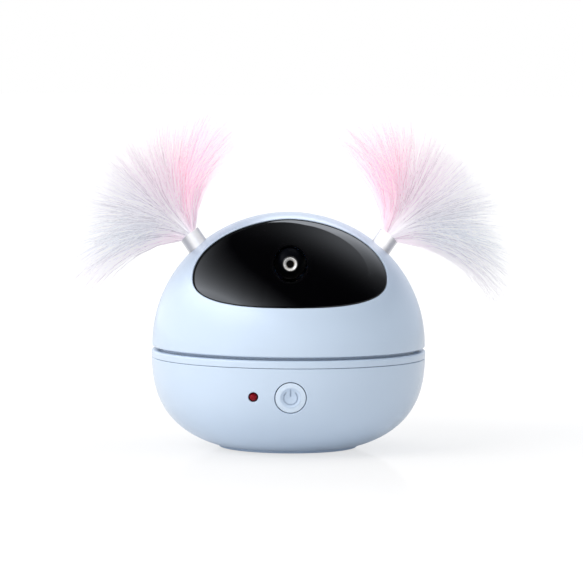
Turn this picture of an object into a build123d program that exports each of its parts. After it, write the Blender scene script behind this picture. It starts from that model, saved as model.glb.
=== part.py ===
from build123d import *
import math
import os

# Automatic cat laser toy: a bowl that stands on the floor, a dome that turns on it, a black visor with a
# tilting laser eye, and two soft plumes in sockets. Millimetres, +Z up, front towards -Y, origin at the
# centre of the plane that the feet stand on.

# ---------------------------------------------------------------- outer form
wall = 2.0

bowl_radius = 52.85
bowl_power = 2.7
bowl_bottom_z = 1.6
bowl_top_z = 35.15
bowl_curve_below = 2.85

rim_line = 0.2
rim_band_height = 2.8
swivel_gap = 1.2
rim_band_z = bowl_top_z + rim_line
deck_rim_z = rim_band_z + rim_band_height
head_bottom_z = deck_rim_z + swivel_gap
bowl_widest_z = deck_rim_z + swivel_gap / 2
bowl_depth = bowl_widest_z - bowl_bottom_z + bowl_curve_below

dome_set_in = 0.2
dome_height = 50.9
dome_centre_rise = 1.45
dome_radius = bowl_radius - dome_set_in
dome_centre_z = bowl_widest_z + dome_centre_rise
band_edge_round = 0.8
dome_edge_round = 0.6
visor_edge_round = 0.3
hole_edge_round = 0.3
button_edge_round = 0.35

# ---------------------------------------------------------------- fits and fasteners
fit = 0.05
free_gap = 0.3
bond_gap = 0.1
screw_radius = 1.0
screw_head_radius = 1.9
screw_head_height = 1.2
screw_bite = 6.0
boss_wall = 1.9
boss_radius = screw_radius + boss_wall
pilot_spare = 1.0
screw_hole_gap = 0.2
screw_slot = 0.5
screw_slot_length = 2.2
screw_slot_depth = 0.6

# ---------------------------------------------------------------- visor and eye
visor_side_inset = 15.85
visor_crown_gap = 2.2
visor_rise = 21.3
visor_drop = 10.0
visor_top_power = 1.83
visor_low_power = 2.95
visor_thickness = 1.1
visor_side_gap = 0.12
visor_ledge = 2.5
visor_half_width = dome_radius - visor_side_inset
visor_widest_z = dome_centre_z + dome_height - visor_crown_gap - visor_rise

eye_rise = 5.8
eye_depth = 8.4
eye_z = visor_widest_z + eye_rise
eye_face_y = -dome_radius * math.sqrt(1 - ((eye_z - dome_centre_z) / dome_height) ** 2)
eye_pivot_y = eye_face_y + eye_depth
ball_radius = 6.0
ball_gap = 0.4
laser_radius = 3.0
laser_length = 15.0
bezel_stand_out = 1.0
bezel_hole_radius = 1.4
pivot_pin_radius = 1.0

# ---------------------------------------------------------------- plumes
plume_root_inset = 17.25
plume_root_x = dome_radius - plume_root_inset
plume_tilt = 34.5
ferrule_radius = 4.2
ferrule_wall = 0.6
ferrule_out = 5.8
ferrule_in = 10.0
socket_wall = 1.4
socket_fit = 0.08
plume_stem_depth = 3.0
plume_mouth_radius = 2.6
plume_mouth_rise = 0.5
plume_droop = 13.0
plume_reach = 39.5
plume_rim_reach = 46.0
plume_rim_angle = 76.0
plume_mouth_angle = 45.0

# ---------------------------------------------------------------- button and lamp
button_x = 0.3
button_drop = 10.95
button_z = bowl_top_z - button_drop
button_radius = 5.7
button_gap = 0.3
button_travel = 0.8
button_flange = 1.2
button_depth = 8.1
button_flange_y = -(bowl_radius - button_depth)
dish_radius = 4.1
dish_depth = 1.0
symbol_radius = 2.6
symbol_line = 0.42
symbol_depth = 0.3
symbol_open_angle = 35.0
lamp_x = -13.6
lamp_rise = 0.1
lamp_z = button_z + lamp_rise
lamp_radius = 1.5
lamp_gap = 0.35
lamp_length = 5.3
lamp_foot = 0.4

# ---------------------------------------------------------------- base floor
opening_radius = 21.0
cover_radius = 26.9
cover_lift = 0.5
cover_thickness = 1.9
cover_edge_round = 0.8
floor_thickness = 1.6
spigot_height = 1.4
spigot_wall = 1.6
foot_radius = 4.0
foot_recess = 0.8
foot_ring = 18.5
foot_angles = (45, 135, 225, 315)
bottom_screw_ring = 23.9
bottom_screw_angles = (90, 210, 330)
bottom_boss_height = 4.0
cover_top_z = cover_lift + cover_thickness
floor_z = cover_top_z + floor_thickness

# ---------------------------------------------------------------- deck, swivel and drive
deck_plate = 2.0
deck_sink = 1.7
deck_plate_z = rim_band_z - deck_sink
deck_top_z = deck_plate_z + deck_plate
deck_skirt = 2.0
deck_skirt_wall = 1.5
deck_wall_gap = 0.35
lip_step = 3.6
lip_radius = bowl_radius - lip_step
lip_wall = 1.2
lip_height = 5.5
deck_screw_inset = 8.9
deck_screw_ring = bowl_radius - deck_screw_inset
deck_screw_angles = (45, 135, 225, 315)

hub_radius = 5.0
hub_bore = 2.6
hub_flange_radius = 9.5
hub_flange = 1.8
hub_screw_ring = 7.3
hub_screw_angles = (30, 150, 270)
bush_wall = 1.5
bush_drop = 1.5
bush_flange_radius = 9.0
bush_flange = 1.2
thrust_gap = 0.1
hub_gear_width = 3.4
washer_thickness = 1.0
washer_radius = 7.5
hub_nut_height = 2.4
hub_tail = 0.4
bush_low_z = deck_plate_z - bush_drop
hub_gear_z = deck_top_z + bush_flange + thrust_gap

drive_module = 0.8
hub_teeth = 48
drive_teeth = 12
drive_angle = -35.0
pressure_angle = 25.0
backlash = 0.16
addendum = 0.85
dedendum = 1.15

gearbox_size = (12.0, 10.0, 9.0)
motor_can_radius = 6.0
motor_can_flats = 10.0
motor_can_length = 15.0
drive_shaft_radius = 1.5
shaft_seat = 3.0
pinion_overhang = 0.3
bracket_wall = 1.5
bracket_height = 7.0
bracket_ear = 5.0

# ---------------------------------------------------------------- slip ring
track_radii = (32.2, 34.8)
track_width = 1.6
track_height = 0.2
ring_board_thickness = 0.8
ring_board_margin = 0.7
brush_angle = 80.0
brush_thickness = 0.25
brush_width = 1.2
brush_length = 8.0
brush_gap = 0.1
brush_block_height = 4.0

# ---------------------------------------------------------------- battery and boards
cell_radius = 7.0
cell_length = 43.0
cell_y = 2.0
cell_spare = 0.1
tray_wall = 1.4
tray_side_height = 8.0
tray_end_height = 14.0
tray_lug = 5.8
tray_lug_rise = 4.0
contact_thickness = 0.5
contact_radius = 5.0
board = 1.6
main_board_z = 16.0
main_board_half_x = 17.0
main_board_length = 24.0
board_tongue_half_x = 7.5
board_tongue_inset = 8.5
board_tongue = 6.0
board_tongue_y = bowl_radius - board_tongue_inset
main_board_back_y = board_tongue_y - board_tongue
main_board_y = (main_board_back_y - main_board_length, main_board_back_y)
board_post_x = 14.0
board_post_inset = 3.5
board_post_spacing = 10.0
board_rear_post_y = main_board_back_y - board_post_inset
board_post_y = (board_rear_post_y - board_post_spacing, board_rear_post_y)
chip_size = (9.0, 9.0, 1.2)
socket_width = 9.0
socket_length = 7.4
socket_height = 3.2
socket_shell = 0.35
socket_tongue = 0.7
socket_recess = 0.9
socket_recess_margin = 1.3

switch_board_x = (-22.0, 14.0)
switch_board_half_z = 7.5
switch_board_back = 6.4
switch_board_y = button_flange_y + switch_board_back
switch_post_x = (-19.4, 11.4)
switch_post_rise = 4.4
switch_post_depth = 5.0
switch_body = 6.0
switch_height = 3.4
plunger_radius = 1.6
plunger_bite = 1.2
stem_radius = 2.4

# ---------------------------------------------------------------- head
chassis_z = hub_gear_z + hub_gear_width + hub_flange
chassis = 2.4
chassis_top_z = chassis_z + chassis
chassis_inset = 5.9
chassis_radius = dome_radius - chassis_inset
head_screw_inset = 12.3
head_screw_ring = dome_radius - head_screw_inset
head_screw_angles = (-12, 60, 120, 192)
yoke_plate = 2.4
yoke_ear = 2.2
yoke_ear_gap = 0.6
yoke_front = 6.0
yoke_back = 14.0
yoke_depth = (eye_pivot_y - yoke_front, eye_pivot_y + yoke_back)
yoke_foot = 6.0
ear_round = 2.4
tilt_motor_radius = 4.0
tilt_motor_length = 12.4
tilt_shaft_radius = 0.75
tilt_angle = -60.0
tilt_module = 0.5
sector_teeth = 36
sector_kept = 7
tilt_teeth = 12
sector_width = 2.0
sector_gap = 0.5
clip_wall = 0.6
head_board_y = (9.0, 31.0)
head_board_half_x = 13.0
head_post_height = 4.0


def superellipse_radius(z, inset=0.0):
    """Radius of the bowl at height z; inset moves the surface in by a wall."""
    drop = abs(bowl_widest_z - z) / (bowl_depth - inset)
    return (bowl_radius - inset) * (1.0 - drop**bowl_power) ** (1.0 / bowl_power)


def revolved(*edges, start=Plane.XZ):
    """Turns a closed outline, given as edges in an upright plane, about the vertical axis."""
    return revolve(start * make_face(edges), Axis.Z, 360)


def outline(*points):
    """Edges of a closed polygon."""
    corners = list(points) + [points[0]]
    return [Line(a, b) for a, b in zip(corners, corners[1:])]


def bowl_solid(inset, z_low, z_high):
    """Everything inside the bowl's surface, moved in by inset, between two heights."""
    steps = 14
    heights = [z_low + (z_high - z_low) * (i / steps) ** 1.4 for i in range(steps + 1)]
    curve = Spline(*[(superellipse_radius(z, inset), z) for z in heights])
    return revolved(
        curve,
        Line(curve @ 1, (0, z_high)),
        Line((0, z_high), (0, z_low)),
        Line((0, z_low), curve @ 0),
    )


def dome_solid(inset):
    """Everything inside the dome's surface, moved in by inset, above the running gap."""
    across = dome_radius - inset
    up = dome_height - inset
    start = math.degrees(math.asin((head_bottom_z - dome_centre_z) / up))
    curve = EllipticalCenterArc((0, dome_centre_z), across, up, start, arc_size=90 - start)
    return revolved(
        curve,
        Line(curve @ 1, (0, head_bottom_z)),
        Line((0, head_bottom_z), curve @ 0),
        start=Plane.YZ,
    )


def edges_where(shape, test):
    """Edges of a shape whose whole length passes a test on points."""
    return ShapeList([edge for edge in shape.edges() if all(test(edge @ t) for t in (0, 0.25, 0.5, 0.75, 1))])


def on_dome(point):
    """Whether a point lies on the dome's outer surface, above its bottom edge."""
    across = (point.X**2 + point.Y**2) / dome_radius**2
    up = ((point.Z - dome_centre_z) / dome_height) ** 2
    return abs(across + up - 1) < 2e-4 and point.Z > dome_centre_z


def on_bowl(point):
    """Whether a point lies on the bowl's outer surface, clear of its bottom edge."""
    inside = bowl_bottom_z + 0.5 < point.Z < bowl_top_z + 0.001
    return inside and abs(math.hypot(point.X, point.Y) - superellipse_radius(point.Z)) < 0.02


def disc(radius, z_low, z_high, x=0.0, y=0.0):
    """Upright cylinder between two heights."""
    return Pos(x, y, (z_low + z_high) / 2) * Cylinder(radius, z_high - z_low)


def tube(outer, inner, z_low, z_high, x=0.0, y=0.0):
    """Upright tube between two heights."""
    return disc(outer, z_low, z_high, x, y) - disc(inner, z_low - 1, z_high + 1, x, y)


def block(x, y, z):
    """Box given by its three (low, high) pairs."""
    size = [high - low for low, high in (x, y, z)]
    middle = [(high + low) / 2 for low, high in (x, y, z)]
    return Pos(*middle) * Box(*size)


def rod_y(radius, y_low, y_high, x, z):
    """Cylinder along Y between two depths."""
    return Pos(x, (y_low + y_high) / 2, z) * Rot(90, 0, 0) * Cylinder(radius, y_high - y_low)


def rod_x(radius, x_low, x_high, y, z):
    """Cylinder along X between two sides."""
    return Pos((x_low + x_high) / 2, y, z) * Rot(0, 90, 0) * Cylinder(radius, x_high - x_low)


def ring_points(radius, angles):
    """Points on a circle about the vertical axis."""
    return [(radius * math.cos(math.radians(a)), radius * math.sin(math.radians(a))) for a in angles]


def together(shapes):
    """Separate solids kept as one group."""
    return Compound(children=list(shapes))


def screw(x, y, z_head, down, length):
    """Pan-head screw whose head seats at z_head and whose shank runs down (1) or up (-1)."""
    shank_end = z_head - down * length
    head_end = z_head + down * screw_head_height
    shank = disc(screw_radius, min(z_head, shank_end), max(z_head, shank_end), x, y)
    head = disc(screw_head_radius, min(z_head, head_end), max(z_head, head_end), x, y)
    deep = 2 * screw_slot_depth
    slot = Box(screw_slot, screw_slot_length, deep) + Box(screw_slot_length, screw_slot, deep)
    cross = Pos(x, y, head_end) * slot
    return shank + head - cross


def screw_into_back(x, z, y_head, length):
    """Pan-head screw that is driven towards the front, its head seated at y_head."""
    upright = screw(0, 0, 0, 1, length)
    return Pos(x, y_head, z) * Rot(-90, 0, 0) * upright


def surface_normal_at_front(z):
    """Outward direction of the bowl's front at height z."""
    step = 0.1
    slope = (superellipse_radius(z + step) - superellipse_radius(z - step)) / (2 * step)
    return Vector(0, -1, -slope).normalized()


# ================================================================ base: shells
def rounded_slot_y(width, height, y_low, y_high, x, z):
    """Slot with round ends, cut along Y."""
    half = height / 2
    run = width / 2 - half
    bar = block((x - run, x + run), (y_low, y_high), (z - half, z + half))
    return bar + rod_y(half, y_low, y_high, x - run, z) + rod_y(half, y_low, y_high, x + run, z)


socket_z = main_board_z + board + socket_height / 2
socket_mouth_y = superellipse_radius(socket_z - socket_height / 2) - socket_recess
lug_screw_x = cell_length / 2 + contact_thickness + tray_wall + boss_radius + free_gap


def lower_shell():
    """Bowl with its floor opening, bosses, posts and the holes for button, lamp and charging socket."""
    outer = bowl_solid(0, bowl_bottom_z, bowl_top_z)
    shell = outer - bowl_solid(wall, floor_z, bowl_top_z)
    rebate = disc(cover_radius + fit, 0, cover_top_z)
    posts = []
    pilots = []
    for x, y in ring_points(deck_screw_ring, deck_screw_angles):
        posts.append(disc(boss_radius, floor_z, deck_plate_z, x, y))
        pilots.append(disc(screw_radius + fit, deck_plate_z - screw_bite - pilot_spare, deck_plate_z + 1, x, y))
    for side in (-1, 1):
        for y in board_post_y:
            x = side * board_post_x
            posts.append(disc(boss_radius, cover_top_z, main_board_z, x, y))
            pilots.append(disc(screw_radius + fit, main_board_z - screw_bite, main_board_z + 1, x, y))
        x = side * lug_screw_x
        posts.append(disc(boss_radius, cover_top_z, floor_z + tray_lug_rise, x, cell_y))
        pilots.append(
            disc(screw_radius + fit, cover_top_z + pilot_spare, floor_z + tray_lug_rise + 1, x, cell_y)
        )
    for x, y in ring_points(bottom_screw_ring, bottom_screw_angles):
        posts.append(disc(boss_radius, cover_top_z, floor_z + bottom_boss_height, x, y))
        pilots.append(disc(screw_radius + fit, 0, cover_top_z + screw_bite - pilot_spare, x, y))
    z_post = button_z + switch_post_rise
    for x in switch_post_x:
        posts.append(rod_y(boss_radius, -bowl_radius, switch_board_y, x, z_post))
        pilots.append(rod_y(screw_radius + fit, switch_board_y - switch_post_depth, switch_board_y + 1, x, z_post))
    for post in posts:
        shell = shell + (post & outer)
    for pilot in pilots:
        shell = shell - pilot
    shell = shell - disc(opening_radius, 0, floor_z + 1) - rebate
    shell = shell - rod_y(button_radius + button_gap, -bowl_radius - 1, button_flange_y, button_x, button_z)
    shell = shell - rod_y(lamp_radius + lamp_gap, -bowl_radius - 1, button_flange_y, lamp_x, lamp_z)
    mouth = rounded_slot_y(socket_width + 0.4, socket_height + 0.4, board_tongue_y, bowl_radius, 0, socket_z)
    margin = 2 * socket_recess_margin
    recess = rounded_slot_y(
        socket_width + margin, socket_height + margin, board_tongue_y, bowl_radius, 0, socket_z
    )
    shell = shell - mouth - (recess - bowl_solid(socket_recess, bowl_bottom_z, bowl_top_z))
    return fillet(edges_where(shell, on_bowl), hole_edge_round)


def drive_centre():
    """Plan position of the drive shaft, one centre distance from the swivel axis."""
    distance = drive_module * (hub_teeth + drive_teeth) / 2
    return ring_points(distance, [drive_angle])[0]


bracket_screw_reach = gearbox_size[0] / 2 + bracket_wall + bracket_ear / 2
bracket_screw_offsets = (-bracket_screw_reach, bracket_screw_reach)


def at_drive(shape):
    """Places a shape, made about the origin with its long side along X, under the drive shaft."""
    x, y = drive_centre()
    return Pos(x, y, 0) * Rot(0, 0, drive_angle + 90) * shape


def base_deck():
    """Deck that closes the bowl: rim band in view, plate, locating skirt and the lip behind the gap."""
    lip_inner = lip_radius - lip_wall
    plate_radius = bowl_radius - wall - deck_wall_gap
    band = bowl_solid(0, rim_band_z, deck_rim_z)
    outer_edges = band.edges().filter_by(GeomType.CIRCLE).group_by(Axis.Z)[-1]
    band = fillet(outer_edges, band_edge_round)
    deck = band - disc(lip_inner, rim_band_z - 1, deck_rim_z + 1)
    deck = deck + disc(plate_radius, deck_plate_z, deck_top_z)
    deck = deck + tube(plate_radius, plate_radius - deck_skirt_wall, deck_plate_z - deck_skirt, deck_plate_z)
    deck = deck + tube(lip_radius, lip_inner, deck_top_z, deck_top_z + lip_height)
    deck = deck - disc(hub_radius + bush_wall + fit, deck_plate_z - 1, deck_top_z + 1)
    for x, y in ring_points(deck_screw_ring, deck_screw_angles):
        deck = deck - disc(screw_radius + screw_hole_gap, deck_plate_z - 1, deck_top_z + 1, x, y)
    for offset in bracket_screw_offsets:
        deck = deck - at_drive(disc(screw_radius + screw_hole_gap, deck_plate_z - 1, deck_top_z + 1, offset, 0))
    return deck - at_drive(disc(drive_shaft_radius + free_gap, deck_plate_z - 1, deck_top_z + 1))


def bottom_cover():
    """Round cover under the bowl, with its spigot, foot recesses and screw holes."""
    plate = disc(cover_radius, cover_lift, cover_top_z)
    low_rim = plate.edges().filter_by(GeomType.CIRCLE).group_by(Axis.Z)[0]
    plate = fillet(low_rim, cover_edge_round)
    spigot = opening_radius - free_gap
    cover = plate + tube(spigot, spigot - spigot_wall, cover_top_z, cover_top_z + spigot_height)
    for x, y in ring_points(foot_ring, foot_angles):
        cover = cover - disc(foot_radius, 0, cover_lift + foot_recess, x, y)
    for x, y in ring_points(bottom_screw_ring, bottom_screw_angles):
        cover = cover - disc(screw_radius + screw_hole_gap, 0, cover_top_z + 1, x, y)
        cover = cover - disc(screw_head_radius + screw_hole_gap, 0, cover_lift + screw_head_height, x, y)
    return cover


def rubber_feet():
    """Four round feet glued into the cover."""
    feet = []
    for x, y in ring_points(foot_ring, foot_angles):
        foot = disc(foot_radius, 0, cover_lift + foot_recess, x, y)
        feet.append(fillet(foot.edges().group_by(Axis.Z)[0], cover_lift * 0.8))
    return together(feet)


# ================================================================ base: screws
def bottom_screws():
    head_z = cover_lift + screw_head_height
    points = ring_points(bottom_screw_ring, bottom_screw_angles)
    return together([screw(x, y, head_z, -1, screw_bite - pilot_spare) for x, y in points])


def deck_screws():
    points = ring_points(deck_screw_ring, deck_screw_angles)
    return together([screw(x, y, deck_top_z, 1, screw_bite + deck_plate) for x, y in points])


def bracket_screws():
    screws = [at_drive(screw(offset, 0, deck_top_z, 1, screw_bite)) for offset in bracket_screw_offsets]
    return together(screws)


def tray_screws():
    head_z = floor_z + tray_lug_rise + tray_wall
    return together([screw(side * lug_screw_x, cell_y, head_z, 1, screw_bite - pilot_spare) for side in (-1, 1)])


def main_board_screws():
    head_z = main_board_z + board
    places = [(side * board_post_x, y) for side in (-1, 1) for y in board_post_y]
    return together([screw(x, y, head_z, 1, screw_bite) for x, y in places])


def switch_board_screws():
    z = button_z + switch_post_rise
    return together([screw_into_back(x, z, switch_board_y + board, screw_bite) for x in switch_post_x])


# ================================================================ base: swivel and drive
def swivel_bush():
    """Flanged plain bearing pressed into the deck; the hub turns in it."""
    sleeve = disc(hub_radius + bush_wall, bush_low_z, deck_top_z)
    flange = disc(bush_flange_radius, deck_top_z, deck_top_z + bush_flange)
    return sleeve + flange - disc(hub_radius + fit, bush_low_z - 1, deck_top_z + bush_flange + 1)


def drive_gearbox():
    """Gearbox under the deck, its shaft seat on top."""
    length, width, height = gearbox_size
    body = block((-length / 2, length / 2), (-width / 2, width / 2), (deck_plate_z - height, deck_plate_z))
    body = chamfer(body.edges().filter_by(Axis.Z), 0.8)
    seat = disc(drive_shaft_radius + fit, deck_plate_z - shaft_seat, deck_plate_z + 1)
    return at_drive(body - seat)


def drive_motor():
    """Motor can with two flats and its rear bearing boss."""
    top = deck_plate_z - gearbox_size[2]
    low = top - motor_can_length
    half = motor_can_flats / 2
    can = disc(motor_can_radius, low, top) & block((-motor_can_radius, motor_can_radius), (-half, half), (low, top))
    boss = disc(2.2, low - 0.8, low)
    return at_drive(can + boss)


def drive_bracket():
    """Sleeve round the gearbox with an ear at each end, screwed up to the deck."""
    length, width, height = gearbox_size
    low = deck_plate_z - bracket_height
    half_x = length / 2 + bracket_wall
    half_y = width / 2 + bracket_wall
    sleeve = block((-half_x, half_x), (-half_y, half_y), (low, deck_plate_z))
    ear_x = half_x + bracket_ear
    ears = block((-ear_x, ear_x), (-bracket_ear / 2, bracket_ear / 2), (deck_plate_z - bracket_ear, deck_plate_z))
    hole_x = length / 2 + fit
    hole_y = width / 2 + fit
    bracket = sleeve + ears - block((-hole_x, hole_x), (-hole_y, hole_y), (low - 1, deck_plate_z + 1))
    for offset in bracket_screw_offsets:
        bracket = bracket - disc(screw_radius + fit, low - 1, deck_plate_z + 1, offset, 0)
    return at_drive(bracket)


def ring_board():
    """Ring of circuit board on the deck that carries the two contact tracks."""
    reach = track_width / 2 + ring_board_margin
    return tube(track_radii[1] + reach, track_radii[0] - reach, deck_top_z, deck_top_z + ring_board_thickness)


def ring_tracks():
    """Two flat copper rings."""
    low = deck_top_z + ring_board_thickness
    half = track_width / 2
    return together([tube(radius + half, radius - half, low, low + track_height) for radius in track_radii])


# ================================================================ base: battery
cell_axis_z = floor_z + tray_wall + cell_spare + cell_radius
tray_half_x = cell_length / 2 + contact_thickness + tray_wall
tray_half_y = cell_radius + cell_spare + tray_wall


def battery_tray():
    """Open cradle with end walls and a lug at each end."""
    inner_x = tray_half_x - tray_wall
    inner_y = tray_half_y - tray_wall
    low_y = cell_y - tray_half_y
    high_y = cell_y + tray_half_y
    tray = block((-tray_half_x, tray_half_x), (low_y, high_y), (floor_z, floor_z + tray_end_height))
    hollow = block((-inner_x, inner_x), (low_y + tray_wall, high_y - tray_wall), (floor_z + tray_wall, bowl_top_z))
    sides = block((-inner_x, inner_x), (low_y - 1, high_y + 1), (floor_z + tray_side_height, bowl_top_z))
    tray = tray - hollow - sides
    lug_low = floor_z + tray_lug_rise
    for side in (-1, 1):
        reach = sorted((side * (tray_half_x - 0.5), side * (tray_half_x + tray_lug)))
        lug = block(reach, (cell_y - boss_radius, cell_y + boss_radius), (lug_low, lug_low + tray_wall))
        tray = tray + lug
        x = side * lug_screw_x
        tray = tray - disc(screw_radius + screw_hole_gap, lug_low - 1, lug_low + tray_wall + 1, x, cell_y)
    return tray


def battery_cell():
    """Round rechargeable cell with its raised plus cap, lying along X."""
    half = cell_length / 2
    cap = 1.0
    can = rod_x(cell_radius, -half, half - cap, cell_y, cell_axis_z)
    can = fillet(can.edges().filter_by(GeomType.CIRCLE), 0.6)
    return can + rod_x(2.6, half - cap, half, cell_y, cell_axis_z)


def battery_contacts():
    """Spring-steel contact disc on each end wall."""
    inner_x = tray_half_x - tray_wall
    plates = []
    for side in (-1, 1):
        span = sorted((side * (inner_x - contact_thickness), side * inner_x))
        plates.append(rod_x(contact_radius, span[0], span[1], cell_y, cell_axis_z))
    return together(plates)


# ================================================================ base: boards
def main_board():
    """Control board with a tongue that reaches the charging socket."""
    low_y, high_y = main_board_y
    top = main_board_z + board
    plate = block((-main_board_half_x, main_board_half_x), (low_y, high_y), (main_board_z, top))
    tongue = block((-board_tongue_half_x, board_tongue_half_x), (high_y, board_tongue_y), (main_board_z, top))
    plate = plate + tongue
    for side in (-1, 1):
        for y in board_post_y:
            hole = disc(screw_radius + screw_hole_gap, main_board_z - 1, top + 1, side * board_post_x, y)
            plate = plate - hole
    return plate


def controller_chip():
    """Flat square controller in the middle of the board."""
    length, width, height = chip_size
    middle_y = (main_board_y[0] + main_board_y[1]) / 2
    low = main_board_z + board
    chip = block((-length / 2, length / 2), (middle_y - width / 2, middle_y + width / 2), (low, low + height))
    return chamfer(chip.edges().group_by(Axis.Z)[-1], 0.2)


def usb_socket():
    """Charging socket: a rounded metal shell with its contact tongue."""
    back_y = socket_mouth_y - socket_length
    shell = rounded_slot_y(socket_width, socket_height, back_y, socket_mouth_y, 0, socket_z)
    inner_w = socket_width - 2 * socket_shell
    inner_h = socket_height - 2 * socket_shell
    hollow = rounded_slot_y(inner_w, inner_h, back_y + 1.0, socket_mouth_y + 1, 0, socket_z)
    half = socket_tongue / 2
    reach = inner_w / 2 - 1.0
    tongue = block((-reach, reach), (back_y, socket_mouth_y - 0.6), (socket_z - half, socket_z + half))
    return shell - hollow + tongue


def switch_board():
    """Small upright board behind the button and the lamp."""
    x_low, x_high = switch_board_x
    plate = block(
        (x_low, x_high),
        (switch_board_y, switch_board_y + board),
        (button_z - switch_board_half_z, button_z + switch_board_half_z),
    )
    for x in switch_post_x:
        hole = rod_y(
            screw_radius + screw_hole_gap,
            switch_board_y - 1,
            switch_board_y + board + 1,
            x,
            button_z + switch_post_rise,
        )
        plate = plate - hole
    return plate


def tact_switch():
    """Square push switch with a bore for its plunger."""
    half = switch_body / 2
    front = switch_board_y - switch_height
    body = block((button_x - half, button_x + half), (front, switch_board_y), (button_z - half, button_z + half))
    bore_end = front + plunger_bite + button_travel + free_gap
    return body - rod_y(plunger_radius + button_gap, front - 1, bore_end, button_x, button_z)


lamp_front_y = -math.sqrt(superellipse_radius(lamp_z) ** 2 - lamp_x**2)


def status_led():
    """Three-millimetre lamp with a round nose and a foot ring."""
    back = lamp_front_y + lamp_length
    body = rod_y(lamp_radius, lamp_front_y + lamp_radius, back, lamp_x, lamp_z)
    nose = Pos(lamp_x, lamp_front_y + lamp_radius, lamp_z) * Sphere(lamp_radius)
    return body + nose + rod_y(lamp_radius + lamp_foot, back - 1.0, back, lamp_x, lamp_z)


def lamp_spacer():
    """Tube that holds the lamp off its board."""
    back = lamp_front_y + lamp_length
    outer = rod_y(lamp_radius + lamp_foot, back, switch_board_y, lamp_x, lamp_z)
    return outer - rod_y(lamp_radius / 2, back - 1, switch_board_y + 1, lamp_x, lamp_z)


# ================================================================ power button
def dish_centre():
    """Centre and radius of the ball that hollows the button's face."""
    radius = (dish_radius**2 + dish_depth**2) / (2 * dish_depth)
    face = Vector(button_x, -superellipse_radius(button_z), button_z)
    return face + surface_normal_at_front(button_z) * (radius - dish_depth), radius


def power_symbol():
    """Open ring with an upright bar, cut along Y."""
    half = symbol_line / 2
    front = -bowl_radius
    ring = rod_y(symbol_radius + half, front, button_flange_y, button_x, button_z)
    ring = ring - rod_y(symbol_radius - half, front - 1, button_flange_y + 1, button_x, button_z)
    open_half = symbol_radius * math.tan(math.radians(symbol_open_angle))
    top = symbol_radius * 1.3
    notch = block((button_x - open_half, button_x + open_half), (front - 1, 0), (button_z + 1.0, button_z + 4.0))
    bar = block((button_x - half, button_x + half), (front, button_flange_y), (button_z + 0.5, button_z + top))
    return ring - notch + bar


def power_button():
    """Cap that follows the bowl, with a dished face, a power symbol, a stop flange and a stem."""
    cap = rod_y(button_radius, -bowl_radius - 1, button_flange_y, button_x, button_z)
    cap = cap & bowl_solid(0, bowl_bottom_z, bowl_top_z)
    centre, radius = dish_centre()
    cap = cap - Pos(*centre) * Sphere(radius)
    cap = fillet(cap.edges().filter_by(lambda edge: edge.length > 5 * button_radius)[-1:], button_edge_round)
    cap = cap - (power_symbol() & (Pos(*centre) * Sphere(radius + symbol_depth)))
    flange_back = button_flange_y + button_flange
    flange = rod_y(button_radius + 1.3, button_flange_y, flange_back, button_x, button_z)
    stem_end = switch_board_y - switch_height - button_travel - free_gap
    return cap + flange + rod_y(stem_radius, flange_back, stem_end, button_x, button_z)


def switch_plunger():
    """Plunger of the push switch, resting against the stem."""
    stem_end = switch_board_y - switch_height - button_travel - free_gap
    tip = switch_board_y - switch_height + plunger_bite
    return rod_y(plunger_radius, stem_end, tip, button_x, button_z)


# ================================================================ gears
def involute(angle):
    """Involute function of an angle in radians."""
    return math.tan(angle) - angle


def gear_face(teeth, module, first_tooth):
    """Flat involute gear about the origin, one tooth centred at first_tooth degrees."""
    pitch = module * teeth / 2
    base = pitch * math.cos(math.radians(pressure_angle))
    tip = pitch + addendum * module
    root = pitch - dedendum * module
    half_at_pitch = (math.pi * module / 2 - backlash / 2) / (2 * pitch)
    half_at_base = half_at_pitch + involute(math.radians(pressure_angle))
    flank = []
    if root < base:
        flank.append((root, half_at_base))
    start = max(root, base)
    steps = 4
    for i in range(steps + 1):
        radius = start + (tip - start) * i / steps
        flank.append((radius, half_at_base - involute(math.acos(min(1.0, base / radius)))))
    points = []
    for tooth in range(teeth):
        middle = math.radians(first_tooth + tooth * 360 / teeth)
        sides = [(r, middle - half) for r, half in flank] + [(r, middle + half) for r, half in reversed(flank)]
        points.extend((r * math.cos(a), r * math.sin(a)) for r, a in sides)
    return make_face(Polyline(*points, close=True))


def facing_gap(direction, teeth):
    """First-tooth angle that puts a gap between two teeth at the given direction."""
    return direction + 180 / teeth


def hub_gear():
    """Large gear under the head's hub flange."""
    wheel = extrude(Pos(0, 0, hub_gear_z) * gear_face(hub_teeth, drive_module, drive_angle), hub_gear_width)
    wheel = wheel - disc(hub_radius + fit, hub_gear_z - 1, hub_gear_z + hub_gear_width + 1)
    for x, y in ring_points(hub_screw_ring, hub_screw_angles):
        wheel = wheel - disc(screw_radius + fit, hub_gear_z - 1, hub_gear_z + hub_gear_width + 1, x, y)
    return wheel


pinion_low_z = hub_gear_z - pinion_overhang
pinion_top_z = hub_gear_z + hub_gear_width + pinion_overhang


def drive_pinion():
    """Small gear on the motor shaft."""
    x, y = drive_centre()
    face = gear_face(drive_teeth, drive_module, facing_gap(drive_angle + 180, drive_teeth))
    wheel = extrude(Pos(x, y, pinion_low_z) * face, pinion_top_z - pinion_low_z)
    return wheel - disc(drive_shaft_radius + fit, pinion_low_z - 1, pinion_top_z + 1, x, y)


def drive_shaft():
    x, y = drive_centre()
    return disc(drive_shaft_radius, deck_plate_z - shaft_seat, pinion_top_z + pinion_overhang, x, y)


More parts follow.
